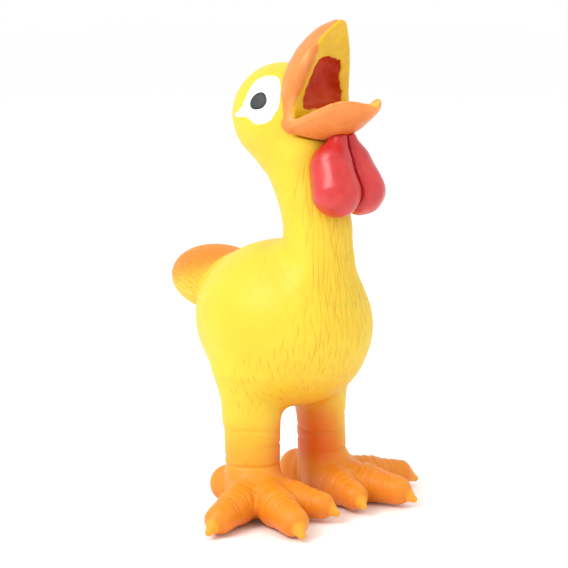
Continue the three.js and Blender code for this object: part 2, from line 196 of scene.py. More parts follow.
UZ = [112, 116, 120.5, 124, 128.5, 133, 137.5, 142.2, 145.7, 148.4, 150.2]
U_RIM = [-13.5, -15.5, -18.2, -18.6, -18.3, -19.4, -20.9, -22.9, -24.6, -26.2, -27.4]
U_W = [12.0, 12.8, 13.0, 13.1, 13.0, 12.1, 10.8, 8.6, 6.3, 4.1, 2.1]
U_BACK = [-6.4, -6.4, -6.2, -6.1, -6.0, -6.2, -7.6, -10.2, -13.6, -17.4, -22.0]
LY = [-39.9, -39.0, -37.9, -35.9, -33.5, -30.5, -26, -21, -16, -12.8, -6]
L_RIM = [126.2, 126.8, 127.4, 127.9, 127.9, 127.0, 125.0, 122.8, 121.0, 120.4, 119]
L_W = [1.8, 3.2, 4.9, 6.7, 8.2, 9.7, 11.5, 12.5, 12.9, 12.9, 12.6]
L_UNDER = [124.0, 123.6, 122.8, 121.4, 119.9, 118.0, 115.8, 114.3, 113.8, 113.8, 114]
# the back edge of the orange: [z], [y]
BZ = [113.6, 115.8, 117.2, 119.7, 123, 127, 131, 135, 138]
BY = [-27.0, -20.0, -15.6, -13.6, -13.1, -12.4, -10.7, -8.0, -4.8]
# outline of the red pocket in the upper beak's face: [x, z]
POCKET = np.array([
    (-3.8, 138.6), (-1.0, 139.8), (4.9, 138.3), (5.6, 137.1), (6.0, 133.0), (8.1, 128.9),
    (8.1, 125.0), (-5.6, 124.3), (-7.8, 125.2), (-6.7, 129.0), (-5.3, 133.4), (-4.6, 137.4),
])


def upper(p):
    """The upper beak's outside as if it had no front, and the front's y."""
    x, y, z = p[..., 0], p[..., 1], p[..., 2]
    rim = np.interp(z, UZ, U_RIM)
    w = np.interp(z, UZ, U_W)
    b = np.interp(z, UZ, U_BACK) - rim
    dy = np.maximum(y - rim, 0)
    return (np.sqrt((x / w) ** 2 + (dy / b) ** 2) - 1) * np.minimum(w, b), rim


def lower(p):
    """The lower beak's outside as if it had no top, and the rim's z."""
    x, y, z = p[..., 0], p[..., 1], p[..., 2]
    rim = np.interp(y, LY, L_RIM)
    w = np.interp(y, LY, L_W)
    b = rim - np.interp(y, LY, L_UNDER)
    dz = np.maximum(rim - z, 0)
    return (np.sqrt((x / w) ** 2 + (dz / b) ** 2) - 1) * np.minimum(w, b), rim


def face_y(p, rim):
    """The front of the upper beak, dished a little between its edges."""
    w = np.interp(p[..., 2], UZ, U_W)
    return rim + 0.7 * np.clip(1 - (p[..., 0] / w) ** 2, 0, 1)


def mouth_space(p):
    """What lies in front of the upper beak's face and above the lower beak's dish."""
    _, rim = upper(p)
    ahead = p[..., 1] - face_y(p, rim)
    _, rim = lower(p)
    w = np.maximum(np.interp(p[..., 1], LY, L_W) - 0.9, 0.3)
    deep = 3.2 * sstep(-40.0, -32.0, p[..., 1])
    dish = rim - deep * np.sqrt(np.clip(1 - (p[..., 0] / w) ** 2, 0, 1)) - 0.2
    return smax(ahead, dish - p[..., 2], 1.4)


def beak_outer(p):
    y, z = p[..., 1], p[..., 2]
    u, rim = upper(p)
    u = smax(smax(smax(u, rim - y, 3.6), z - 150.6, 1.0), 115 - z, 1)
    low, rim = lower(p)
    low = smax(smax(smax(low, z - rim, 1.5), -40.2 - y, 1.0), y + 8, 1)
    f = smin(u, low, 2.0)
    lean = np.interp(z + 0.5, BZ, BY) - np.interp(z - 0.5, BZ, BY)
    return smax(f, (y - np.interp(z, BZ, BY)) / np.sqrt(1 + lean * lean), 0.7)


def pocket_outline(p):
    """Signed distance across the face to the hand-painted, slightly uneven pocket edge."""
    q = p[..., [0, 2]].reshape(-1, 2)
    d = outline_distance(q, POCKET).reshape(p.shape[:-1])
    x, z = p[..., 0], p[..., 2]
    return d - 0.35 + 0.14 * np.sin(1.9 * z + 0.6 * x) + 0.10 * np.sin(2.3 * x - 1.1 * z + 0.8)


def pocket_floor(p):
    x, z = p[..., 0], p[..., 2]
    mid = np.exp(-((x - 0.6) / 6.0) ** 2 - ((z - 131) / 7.0) ** 2)
    return -18.4 - 0.235 * (z - 124.5) + 2.6 + 1.9 * mid + 0.16 * np.sin(0.9 * x + 0.7 * z)


def beak(p):
    f = smax(beak_outer(p), -mouth_space(p), 0.5)
    near = (np.abs(p[..., 0]) < 12) & (p[..., 2] > 120) & (p[..., 2] < 144)
    cut_ = np.full(p.shape[:-1], 9.0)
    q = p[near]
    cut_[near] = np.maximum(np.maximum(pocket_outline(q), q[..., 1] - pocket_floor(q) - 0.7), -24.5 - q[..., 1])
    return smax(f, -cut_, 0.25)


def mouth_cup(p):
    """The red lining of the pocket: floor and walls, let into the beak."""
    d = pocket_outline(p)
    floor_ = pocket_floor(p)
    _, rim = upper(p)
    depth = p[..., 1] - face_y(p, rim)
    f = smax(smax(d - 1.0, p[..., 1] - floor_ - 1.6, 0.8), 0.25 - depth, 0.2)
    room = smax(d + 0.05 + 0.45 * depth, p[..., 1] - floor_, 1.6)
    return smax(f, -room, 0.3)


def wattle(p):
    f = cone(p, (3.9, -26.1, 107.8), (5.1, -29.3, 100.3), 6.5, 7.4)
    f = smin(f, cone(p, (1.4, -26.9, 116.8), (3.0, -26.5, 111), 2.6, 4.4), 2)
    f = smax(f, 0.12 - p[..., 0], 1.4)
    return smax(f, p[..., 2] - 117.2, 0.5)


def head_pocket(p):
    """What the beak takes out of the head."""
    return beak_outer(p) + 0.9


def skin(p):
    """Torso, neck, skull, tail, legs and feet as one smooth moulded surface."""
    f = smin(torso(p), chain(p, NECK, 3), 4.6 + 6.0 * sstep(-14, -24, p[..., 1]))
    f = smin(f, skull(p), 4)
    f = smin(f, tail(p), 1.6)
    f = smin(f, leg(p), 5)
    f = smin(f, foot(p), 3.2)
    f = smin(f, claws(p), 1.2)
    f = smax(f, -p[..., 2], 0.4)
    return smax(f, -head_pocket(p), 0.4)


# ---------------------------------------------------------------- meshing
class Mesh:
    def __init__(self, v, f):
        self.v, self.f, self.a = v, f, {}


def field_on_grid(fn, lo, hi, h, block=8, reach=9.0):
    """Values of fn on a grid, worked out in full only in the blocks near the surface."""
    nb = np.ceil((np.array(hi) - lo) / (h * block)).astype(int) + 1
    n = nb * block
    mid = [lo[k] + (np.arange(nb[k]) * block + (block - 1) / 2) * h for k in range(3)]
    centres = np.stack(np.meshgrid(*mid, indexing="ij"), -1).reshape(-1, 3)
    coarse = fn(centres)
    val = np.repeat(np.repeat(np.repeat(coarse.reshape(nb), block, 0), block, 1), block, 2)
    near = np.argwhere((np.abs(coarse) < reach).reshape(nb))
    cell = np.stack(np.meshgrid(*[np.arange(block)] * 3, indexing="ij"), -1).reshape(-1, 3)
    for i in range(0, len(near), 400):
        idx = (near[i:i + 400, None, :] * block + cell[None]).reshape(-1, 3)
        val[idx[:, 0], idx[:, 1], idx[:, 2]] = fn(lo + idx * h)
    return val.astype(np.float64), n


def surface(fn, lo, hi, h, steps=3):
    """A closed triangle mesh of fn = 0, with points drawn onto the surface."""
    lo = np.array(lo, float)
    val, _ = field_on_grid(fn, lo, np.array(hi, float), h)
    s = val < 0
    nx, ny, nz = val.shape
    corners = [(i, j, k) for i in (0, 1) for j in (0, 1) for k in (0, 1)]

    def sub(a, c):
        return a[c[0]:nx - 1 + c[0], c[1]:ny - 1 + c[1], c[2]:nz - 1 + c[2]]

    total = sum(sub(s, c).astype(np.int8) for c in corners)
    active = (total > 0) & (total < 8)
    index = np.full(active.shape, -1, np.int64)
    cells = np.argwhere(active)
    index[active] = np.arange(len(cells))
    acc = np.zeros((len(cells), 3))
    count = np.zeros(len(cells))
    for c in corners:
        for axis in range(3):
            if c[axis]:
                continue
            d = list(c)
            d[axis] = 1
            va = val[cells[:, 0] + c[0], cells[:, 1] + c[1], cells[:, 2] + c[2]]
            vb = val[cells[:, 0] + d[0], cells[:, 1] + d[1], cells[:, 2] + d[2]]
            hit = (va < 0) != (vb < 0)
            t = np.where(hit, va / np.where(hit, va - vb, 1), 0)
            pos = np.array(c, float) + t[:, None] * (np.array(d) - np.array(c))
            acc += np.where(hit[:, None], pos, 0)
            count += hit
    v = lo + (cells + acc / count[:, None]) * h
    faces = []
    for axis in range(3):
        a, b = [(1, 2), (2, 0), (0, 1)][axis]
        first = [slice(None)] * 3
        second = [slice(None)] * 3
        first[axis], second[axis] = slice(0, -1), slice(1, None)
        sa, sb = s[tuple(first)], s[tuple(second)]
        g = np.argwhere(sa != sb)
        g = g[(g[:, a] > 0) & (g[:, b] > 0) & (g[:, a] < val.shape[a] - 1) & (g[:, b] < val.shape[b] - 1)]
        inside = sa[g[:, 0], g[:, 1], g[:, 2]]
        quad = []
        for da, db in ((0, 0), (-1, 0), (-1, -1), (0, -1)):
            q = g.copy()
            q[:, a] += da
            q[:, b] += db
            quad.append(index[q[:, 0], q[:, 1], q[:, 2]])
        quad = np.stack(quad, 1)
        quad[~inside] = quad[~inside][:, ::-1]
        faces.append(quad)
    quad = np.concatenate(faces)
    diag = length(v[quad[:, 0]] - v[quad[:, 2]]) < length(v[quad[:, 1]] - v[quad[:, 3]])
    f = np.concatenate([
        np.where(diag[:, None], quad[:, [0, 1, 2]], quad[:, [0, 1, 3]]),
        np.where(diag[:, None], quad[:, [0, 2, 3]], quad[:, [1, 2, 3]]),
    ])
    m = Mesh(v, f)
    if volume(m) < 0:
        m.f = m.f[:, ::-1].copy()
    settle(m, fn, h, steps)
    return m


def volume(m):
    a, b, c = (m.v[m.f[:, k]] for k in range(3))
    return float((a * np.cross(b, c)).sum() / 6)


def gradient(fn, p, e=0.15):
    g = np.empty_like(p)
    for k in range(3):
        d = np.zeros(3)
        d[k] = e
        g[:, k] = fn(p + d) - fn(p - d)
    return g / (2 * e)


def settle(m, fn, h, steps):
    """Moves the points onto the surface, a little at a time, evening them out as it goes."""
    for i in range(steps):
        if i:
            m.v += 0.35 * slide(m)
        g = gradient(fn, m.v)
        g2 = np.maximum((g * g).sum(1), 0.05)
        step = -(fn(m.v) / g2)[:, None] * g
        size = np.maximum(length(step), 1e-9)
        m.v += step * np.minimum(1, 0.6 * h / size)[:, None]


def slide(m):
    """Towards the mean of the neighbours, along the surface only."""
    n = len(m.v)
    acc = np.zeros((n, 3))
    cnt = np.zeros(n)
    for a, b in ((0, 1), (1, 2), (2, 0)):
        for i, j in ((a, b), (b, a)):
            for k in range(3):
                acc[:, k] += np.bincount(m.f[:, i], m.v[m.f[:, j], k], n)
            cnt += np.bincount(m.f[:, i], minlength=n)
    d = acc / np.maximum(cnt, 1)[:, None] - m.v
    nrm = normals(m.v, m.f)
    return d - (d * nrm).sum(1)[:, None] * nrm


def normals(v, f):
    n = np.cross(v[f[:, 1]] - v[f[:, 0]], v[f[:, 2]] - v[f[:, 0]])
    out = np.zeros_like(v)
    for k in range(3):
        for c in range(3):
            out[:, c] += np.bincount(f[:, k], n[:, c], len(v))
    return out / np.maximum(length(out), 1e-12)[:, None]


def edges_of(f):
    e = np.concatenate([f[:, [0, 1]], f[:, [1, 2]], f[:, [2, 0]]]).astype(np.int64)
    e.sort(1)
    top = int(f.max()) + 1
    u, inv = np.unique(e[:, 0] * top + e[:, 1], return_inverse=True)
    return np.stack([u // top, u % top], 1), inv.reshape(3, -1).T


def split(m, choose):
    """Splits the edges that choose(edges) marks, at the place it gives, without cracks."""
    e, fe = edges_of(m.f)
    want, t = choose(e)
    n = len(m.v)
    mid = np.full(len(e), -1, np.int64)
    mid[want] = n + np.arange(int(want.sum()))
    a, b, t = e[want, 0], e[want, 1], t[want]
    m.v = np.concatenate([m.v, m.v[a] * (1 - t)[:, None] + m.v[b] * t[:, None]])
    for k, x in m.a.items():
        tt = t.reshape(-1, *([1] * (x.ndim - 1)))
        m.a[k] = np.concatenate([x, x[a] * (1 - tt) + x[b] * tt])
    k = mid[fe]
    cnt = (k >= 0).sum(1)
    out = [m.f[cnt == 0]]

    def turned(rows, first):
        order = (first[:, None] + np.arange(3)) % 3
        return np.take_along_axis(m.f[rows], order, 1), np.take_along_axis(k[rows], order, 1)

    rows = np.flatnonzero(cnt == 1)
    if len(rows):
        f, s = turned(rows, np.argmax(k[rows] >= 0, 1))
        out += [np.stack([f[:, 0], s[:, 0], f[:, 2]], 1), np.stack([s[:, 0], f[:, 1], f[:, 2]], 1)]
    rows = np.flatnonzero(cnt == 2)
    if len(rows):
        f, s = turned(rows, (np.argmin(k[rows] >= 0, 1) + 1) % 3)
        out.append(np.stack([s[:, 0], f[:, 1], s[:, 1]], 1))
        short = length(m.v[f[:, 0]] - m.v[s[:, 1]]) < length(m.v[s[:, 0]] - m.v[f[:, 2]])
        out.append(np.where(short[:, None], np.stack([f[:, 0], s[:, 0], s[:, 1]], 1), np.stack([f[:, 0], s[:, 0], f[:, 2]], 1)))
        out.append(np.where(short[:, None], np.stack([f[:, 0], s[:, 1], f[:, 2]], 1), np.stack([s[:, 0], s[:, 1], f[:, 2]], 1)))
    rows = np.flatnonzero(cnt == 3)
    if len(rows):
        f, s = m.f[rows], k[rows]
        out += [
            np.stack([f[:, 0], s[:, 0], s[:, 2]], 1), np.stack([s[:, 0], f[:, 1], s[:, 1]], 1),
            np.stack([s[:, 2], s[:, 1], f[:, 2]], 1), s,
        ]
    m.f = np.concatenate(out)
    return n


def refine(m, near=None):
    """Halves every edge, or only those whose two ends are in near."""
    def choose(e):
        w = np.ones(len(e), bool) if near is None else near[e[:, 0]] & near[e[:, 1]]
        return w, np.full(len(e), 0.5)
    split(m, choose)


def cut(m, name, eps=0.02):
    """Puts a line of edges along the zero of a stored value."""
    s = m.a[name]
    s[np.abs(s) < eps] = 0

    def choose(e):
        a, b = s[e[:, 0]], s[e[:, 1]]
        w = a * b < 0
        return w, np.where(w, a / np.where(w, a - b, 1), 0)
    n = split(m, choose)
    m.a[name][n:] = 0


def beyond(m, name):
    return m.a[name][m.f].mean(1) > 0


def loops_of(f):
    """The open borders of some faces, as closed lists of points."""
    d = np.concatenate([f[:, [0, 1]], f[:, [1, 2]], f[:, [2, 0]]])
    top = int(f.max()) + 1
    key = d[:, 0] * top + d[:, 1]
    back = d[:, 1] * top + d[:, 0]
    open_ = d[~np.isin(key, back)]
    follow = {}
    for a, b in open_:
        follow.setdefault(int(a), []).append(int(b))
    loops = []
    while follow:
        start = next(iter(follow))
        loop, at = [start], follow[start].pop()
        if not follow[start]:
            del follow[start]
        while at != start:
            loop.append(at)
            nxt = follow[at].pop()
            if not follow[at]:
                del follow[at]
            at = nxt
        loops.append(loop)
    return loops


def take(m, mask, wall=None):
    """Some faces of m as a closed piece: a shell of that wall, or a solid with flat caps."""
    f = m.f[mask]
    used, f = np.unique(f, return_inverse=True)
    f = f.reshape(-1, 3)
    v = m.v[used]
    a = {k: x[used] for k, x in m.a.items()}
    n = a["normal"]
    corner = n[f]
    loops = loops_of(f)
    count = len(v)
    faces, corners = [f], [corner]
    if wall:
        inner = a["base"] - wall * a["base_normal"]
        v = np.concatenate([v, inner])
        a = {k: np.concatenate([x, x]) for k, x in a.items()}
        faces.append(f[:, ::-1] + count)
        corners.append(-a["base_normal"][:count][f[:, ::-1]])
        rim = []
        for loop in loops:
            nxt = loop[1:] + loop[:1]
            for p, q in zip(loop, nxt):
                rim += [(q, p, p + count), (q, p + count, q + count)]
        if rim:
            rim = np.array(rim)
            g = np.cross(v[rim[:, 1]] - v[rim[:, 0]], v[rim[:, 2]] - v[rim[:, 0]])
            g /= np.maximum(length(g), 1e-12)[:, None]
            faces.append(rim)
            corners.append(np.repeat(g[:, None], 3, 1))
    elif loops:
        groups = cap_groups(v, loops)
        for group in groups:
            flat = [i for loop in group for i in loop]
            tri = geometry.tessellate_polygon([[Vector(v[i]) for i in loop] for loop in group])
            tri = np.array([[flat[i] for i in t] for t in tri])
            area = sum(np.cross(v[loop], v[loop[1:] + loop[:1]]).sum(0) for loop in group)
            area = -area / np.linalg.norm(area)
            g = np.cross(v[tri[:, 1]] - v[tri[:, 0]], v[tri[:, 2]] - v[tri[:, 0]])
            wrong = g @ area < 0
            tri[wrong] = tri[wrong][:, ::-1]
            faces.append(tri)
            corners.append(np.broadcast_to(area, (len(tri), 3, 3)))
    out = Mesh(v, np.concatenate(faces))
    out.a = a
    out.corner = np.concatenate(corners)
    return out


def cap_groups(v, loops):
    """Border loops that lie in one plane are capped together, so that a ring stays a ring."""
    groups = []
    for loop in sorted(loops, key=len, reverse=True):
        pts = v[loop]
        for g in groups:
            base = v[g[0]]
            area = np.cross(base, np.roll(base, -1, 0)).sum(0)
            area /= max(np.linalg.norm(area), 1e-9)
            if np.abs((pts - base.mean(0)) @ area).max() < 0.15:
                g.append(loop)
                break
        else:
            groups.append([loop])
    return groups


def build(name, m, material, keep=()):
    """A Blender mesh in metres, with its normals and painted values."""
    me = bpy.data.meshes.new(name)
    n, k = len(m.v), len(m.f)
    me.vertices.add(n)
    me.loops.add(3 * k)
    me.polygons.add(k)
    me.vertices.foreach_set("co", ((m.v + (0, SHIFT_Y, 0)) * MM).astype(np.float32).ravel())
    me.loops.foreach_set("vertex_index", m.f.astype(np.int32).ravel())
    me.polygons.foreach_set("loop_start", np.arange(0, 3 * k, 3, dtype=np.int32))
    me.update(calc_edges=True)
    for key in keep:
        x = m.a[key]
        if x.ndim == 2:
            me.attributes.new(key, "FLOAT_VECTOR", "POINT").data.foreach_set("vector", x.astype(np.float32).ravel())
        else:
            me.attributes.new(key, "FLOAT", "POINT").data.foreach_set("value", x.astype(np.float32))
    me.normals_split_custom_set(m.corner.reshape(-1, 3).astype(np.float32).tolist())
    ob = bpy.data.objects.new(name, me)
    bpy.context.scene.collection.objects.link(ob)
    me.materials.append(material)
    return ob


# ---------------------------------------------------------------- engraved feather strokes
def flow(p):
    """The way the feathers lie: down the neck and breast, sweeping in over the thighs."""
    d = np.zeros_like(p)
    side = np.sign(p[:, 0] + 1e-6)
    low = 1 - sstep(38, 50, p[:, 2])
    thigh = low * sstep(6, 14, np.abs(p[:, 0]))
    belly = low * (1 - sstep(6, 14, np.abs(p[:, 0])))
    d[:, 2] = -1
    d[:, 0] += -side * (1.5 * thigh * sstep(34, 44, p[:, 2]) - 0.9 * thigh * (1 - sstep(30, 38, p[:, 2])))
    d[:, 0] += side * 0.45 * belly
    rump = sstep(0, 14, p[:, 1]) * sstep(50, 70, p[:, 2])
    d[:, 1] += 1.3 * rump
    on_tail = sstep(19, 22, p[:, 1])[:, None]
    return d * (1 - on_tail) + on_tail * (p - np.array([0, 10, 62])) / 20


def strokes(m):
    """Seeds spread over the plumage and walked along the flow, one short furrow each."""
    v, n = m.v, m.a["base_normal"]
    x, y, z = v.T
    front = np.clip(-n[:, 1], 0, 1)
    ahead = -n[:, 1]
    neck = sstep(80, 88, z) * (1 - sstep(108, 112, z)) * sstep(0.35, 0.7, ahead)
    breast = sstep(33, 37, z) * (1 - sstep(84, 88, z)) * sstep(0.42, 0.78, ahead + 0.5 * sstep(60, 46, z))
    flank = sstep(34, 37, z) * (1 - sstep(48, 56, z)) * (1 - sstep(0.2, 0.5, ahead)) * 0.45
    back = sstep(36, 42, z) * (1 - sstep(90, 104, z)) * (1 - sstep(-0.3, 0.1, ahead)) * 0.10
    on_tail = sstep(20, 22, y) * 1.0
    legs = (1 - sstep(30, 33, z))
    want = np.clip(np.maximum.reduce([neck, breast, flank, back, on_tail]) - legs, 0, 1)
    port = length(v - np.array([0, 11.2, 34.6])) < 9
    want[port] = 0
    pick = np.flatnonzero(RNG.random(len(v)) < want * 0.11)
    RNG.shuffle(pick)
    taken, reach = [], []
    pts = np.empty((0, 3))
    dirs = flow(v[pick])
    nn = n[pick]
    dirs -= (dirs * nn).sum(1)[:, None] * nn
    dirs /= np.maximum(length(dirs), 1e-9)[:, None]
    apart = np.where(y[pick] > 20, 0.95, np.where(z[pick] > 70, 1.15, 1.25 + 0.9 * (1 - want[pick])))
    for i, at in enumerate(pick):
        if len(taken):
            d = v[at] - pts
            along = d @ dirs[i]
            across = length(d - along[:, None] * dirs[i])
            if ((across / apart[i]) ** 2 + (along / (apart[i] * 3.6)) ** 2 < 1).any():
                continue
        taken.append(i)
        pts = np.concatenate([pts, v[at][None]])
    taken = np.array(taken)
    seed = v[pick[taken]]
    span = np.interp(seed[:, 2], [45, 58, 70, 84], [3.2, 5.5, 9.0, 13.0])
    span = np.where(seed[:, 1] > 20, 6.0, span) * RNG.uniform(0.6, 1.35, len(seed))
    depth = RNG.uniform(0.55, 1.0, len(seed)) * np.clip(want[pick[taken]] * 1.3, 0.45, 1)
    turn = RNG.normal(0, 0.12, len(seed))
    step = 0.22
    p = seed.copy()
    rows = []
    for i in range(int(span.max() / step) + 1):
        g = gradient(skin, p)
        g /= np.maximum(length(g), 1e-9)[:, None]
        p = p - skin(p)[:, None] * g
        t = (i * step) / span
        live = t <= 1
        shape = np.sin(np.pi * np.clip(t, 0, 1)) ** 0.6
        rows.append(np.column_stack([p[live], (depth * shape)[live]]))
        d = flow(p)
        s = np.cross(g, d)
        d = d + turn[:, None] * s
        d -= (d * g).sum(1)[:, None] * g
        p = p + step * d / np.maximum(length(d), 1e-9)[:, None]
    return np.concatenate(rows)


def nearest(points, weights, query, radius):
    """Distance to the nearest of some points, and its weight, for each query point within radius."""
    tree = kdtree.KDTree(len(points))
    for i, p in enumerate(points):
        tree.insert(p, i)
    tree.balance()
    lo, hi = points.min(0) - radius, points.max(0) + radius
    dist = np.full(len(query), 1e9)
    value = np.zeros(len(query))
    for i in np.flatnonzero(((query > lo) & (query < hi)).all(1)):
        _, j, d = tree.find(query[i])
        if d < radius:
            dist[i] = d
            value[i] = weights[j]
    return dist, value


# ---------------------------------------------------------------- painted and modelled detail
EYE = np.array([
    (4.6, 121.7), (1.2, 124.0), (0, 126.4), (-0.7, 129.2), (-1.4, 131.8), (-3.0, 133.2), (-5.4, 133.7),
    (-7.9, 133.4), (-10, 132.0), (-11.8, 129.2), (-12.7, 125.2), (-12.0, 123.2), (-10.7, 121.1),
    (-8.1, 119.9), (-5.1, 119.8), (-2.8, 121.1), (-1.2, 121.7), (1.4, 121.5),
])
PUPIL = (-5.8, 126.4, 2.85, 2.6)


def smooth_loop(pts, n=12):
    """A closed curve through the points (Catmull-Rom)."""
    out = []
    k = len(pts)
    for i in range(k):
        p0, p1, p2, p3 = (pts[(i + j - 1) % k] for j in range(4))
        t = np.linspace(0, 1, n, endpoint=False)[:, None]
        out.append(0.5 * (2 * p1 + (p2 - p0) * t + (2 * p0 - 5 * p1 + 4 * p2 - p3) * t ** 2 + (3 * p1 - p0 - 3 * p2 + p3) * t ** 3))
    return np.concatenate(out)


def outline_distance(q, loop):
    """Signed distance (negative inside) of 2-D points to a closed curve."""
    a, b = loop, np.roll(loop, -1, 0)
    out = np.full(len(q), 1e9)
    inside = np.zeros(len(q), bool)
    for p0, p1 in zip(a, b):
        d = p1 - p0
        t = np.clip(((q - p0) @ d) / max(d @ d, 1e-12), 0, 1)
        out = np.minimum(out, length(q - (p0 + t[:, None] * d)))
        crosses = (p0[1] > q[:, 1]) != (p1[1] > q[:, 1])
        if crosses.any():
            xs = p0[0] + (q[:, 1] - p0[1]) * d[0] / (d[1] if abs(d[1]) > 1e-12 else 1e-12)
            inside ^= crosses & (q[:, 0] < xs)
    return np.where(inside, -out, out)


def eye_values(v):
    eye = np.full(len(v), 9.0)
    pupil = np.full(len(v), 9.0)
    near = (np.abs(v[:, 0]) > 4) & (v[:, 2] > 112) & (v[:, 1] < 8) & (v[:, 1] > -16.5)
    q = v[near][:, 1:]
    eye[near] = np.clip(outline_distance(q, smooth_loop(EYE)), -9, 9)
    a = np.arctan2(q[:, 1] - PUPIL[1], q[:, 0] - PUPIL[0])
    r = np.hypot((q[:, 0] - PUPIL[0]) / PUPIL[2], (q[:, 1] - PUPIL[1]) / PUPIL[3])
    wobble = 1 + 0.05 * np.cos(2 * a + 0.7) + 0.04 * np.cos(3 * a + 1.9)
    pupil[near] = (r - wobble) * 2.55
    return eye, pupil


RINGS = {
    "outer": (0.36, 0.46, 0.56, 0.66, 0.76, 0.86), "middle": (0.42, 0.52, 0.62, 0.72, 0.82, 0.91),
    "inner": (0.42, 0.54, 0.66, 0.78, 0.9), "hind": (0.55, 0.8),
}


def rings_on(q, toes):
    """Knuckle furrows over the tops of one foot's toes, 0 to 1."""
    depth = np.zeros(len(q))
    for key, places in RINGS.items():
        links = toes[key]
        pts = np.array([a for a, _ in links])
        rad = np.array([r for _, r in links])
        seg = np.linalg.norm(np.diff(pts, axis=0), axis=1)
        s0 = np.concatenate([[0], np.cumsum(seg)])
        best = np.full(len(q), 1e9)
        along = np.zeros(len(q))
        rr = np.zeros(len(q))
        side = np.zeros(len(q))
        for i in range(len(seg)):
            d = pts[i + 1] - pts[i]
            t = ((q - pts[i]) @ d) / (d @ d)
            tc = np.clip(t, 0, 1)
            off = q - (pts[i] + tc[:, None] * d)
            dist = length(off)
            w = dist < best
            best[w] = dist[w]
            along[w] = (s0[i] + tc * seg[i])[w]
            rr[w] = (rad[i] + (rad[i + 1] - rad[i]) * tc)[w]
            flat = np.array([-d[1], d[0], 0]) / np.hypot(d[0], d[1])
            side[w] = (off @ flat)[w]
        on = 1 - sstep(0.5, 1.8, np.abs(best - rr))
        up = sstep(3.6, 7.4, q[:, 2])
        for j, place in enumerate(places):
            bend = 0.10 * (q[:, 2] - 6) + 0.09 * side * (-1) ** j + 0.25 * np.sin(0.8 * side + 1.7 * j)
            strong = 1.0 if j % 2 == 0 else 0.55
            g = np.exp(-(((along - place * s0[-1] + bend) / 0.72) ** 2))
            depth = np.maximum(depth, on * up * g * strong)
    return depth


def toe_rings(v):
    """Knuckle furrows over the toes, as a depth in mm."""
    low = v[:, 2] < 16
    out = np.zeros(len(v))
    out[low] = 0.34 * by_side(v[low], lambda q: rings_on(q, TOES), lambda q: rings_on(q, RIGHT_TOES))
    return out


def leg_rings(v):
    """A few shallow skin folds round the shins and ankles."""
    q = mirror(v)
    a = np.arctan2(q[:, 1] + 4, q[:, 0] - 15.3)
    depth = np.zeros(len(v))
    for z0, amp, phase, lean, gap in ((26.4, 0.20, 0.4, 0.9, 1.2), (22.8, 0.26, 1.7, -0.7, 0.9), (18.9, 0.30, 2.6, 0.8, 0.7), (15.6, 0.34, 4.0, -0.5, 0.6)):
        line = z0 + lean * np.cos(a + phase)
        fade = sstep(-0.6, 0.3, np.cos(a + phase * 1.7))
        depth = np.maximum(depth, amp * fade * np.exp(-(((q[:, 2] - line) / (0.45 + 0.1 * gap)) ** 2)))
    return depth * (np.abs(q[:, 0]) < 26)


# ---------------------------------------------------------------- the skin
def make_skin():
    m = surface(skin, (-48, -47, -4), (48, 48, 142), 0.85)
    refine(m)
    settle(m, skin, 0.4, 1)
    g = gradient(skin, m.v)
    m.a["base"] = m.v.copy()
    m.a["base_normal"] = g / np.maximum(length(g), 1e-9)[:, None]
    rows = strokes(m)
    dist, _ = nearest(rows[:, :3], rows[:, 3], m.v, 0.75)
    eye, pupil = eye_values(m.v)
    fine = (dist < 0.7) | (np.abs(eye) < 0.6) | (np.abs(pupil) < 0.6)
    fine |= (toe_rings(m.v) > 0.05) | (leg_rings(m.v) > 0.06)
    cl = claws(m.v)
    fine |= (np.abs(cl) < 0.8) & (m.v[:, 2] < 14)
    refine(m, fine)
    v = m.v
    bn = m.a["base_normal"]
    bn /= np.maximum(length(bn), 1e-9)[:, None]
    dist, weight = nearest(rows[:, :3], rows[:, 3], v, 0.62)
    groove = weight * np.exp(-((dist / 0.22) ** 2))
    eye, pupil = eye_values(v)
    toes, legs_ = toe_rings(v), leg_rings(v)
    cl = claws(v)
    claw = np.where(v[:, 2] < 14, cl, 9.0)
    cuticle = np.exp(-((claw - 0.55) / 0.32) ** 2) * sstep(1.5, 3.5, v[:, 2])
    lump = 0.10 * np.sin(v[:, 0] * 0.21 + 1.3) * np.sin(v[:, 1] * 0.17 + 0.4) * np.sin(v[:, 2] * 0.19)
    raise_ = (
        lump - (0.20 + 0.14 * sstep(19, 22, v[:, 1])) * groove - toes - legs_
        + 0.28 * sstep(0.25, -0.25, eye) + 0.14 * sstep(0.2, -0.2, pupil)
        - 0.22 * cuticle
    )
    m.v = v + raise_[:, None] * bn
    m.v[:, 2] = np.maximum(m.v[:, 2], 0)
    m.a["normal"] = normals(m.v, m.f)
    # groove and crease also darken the colour in the material: partly pooled paint, partly painted shade
    m.a["groove"] = np.clip(groove + 0.0, 0, 1)
    m.a["crease"] = np.clip(toes / 0.34 * 0.45 + legs_ / 0.34 * 0.6 + cuticle * 0.4, 0, 1)
    m.a["eye"], m.a["pupil"], m.a["claw"] = eye, pupil, np.clip(claw, -5, 9)
    m.a["rest"] = m.v.copy()
    return m


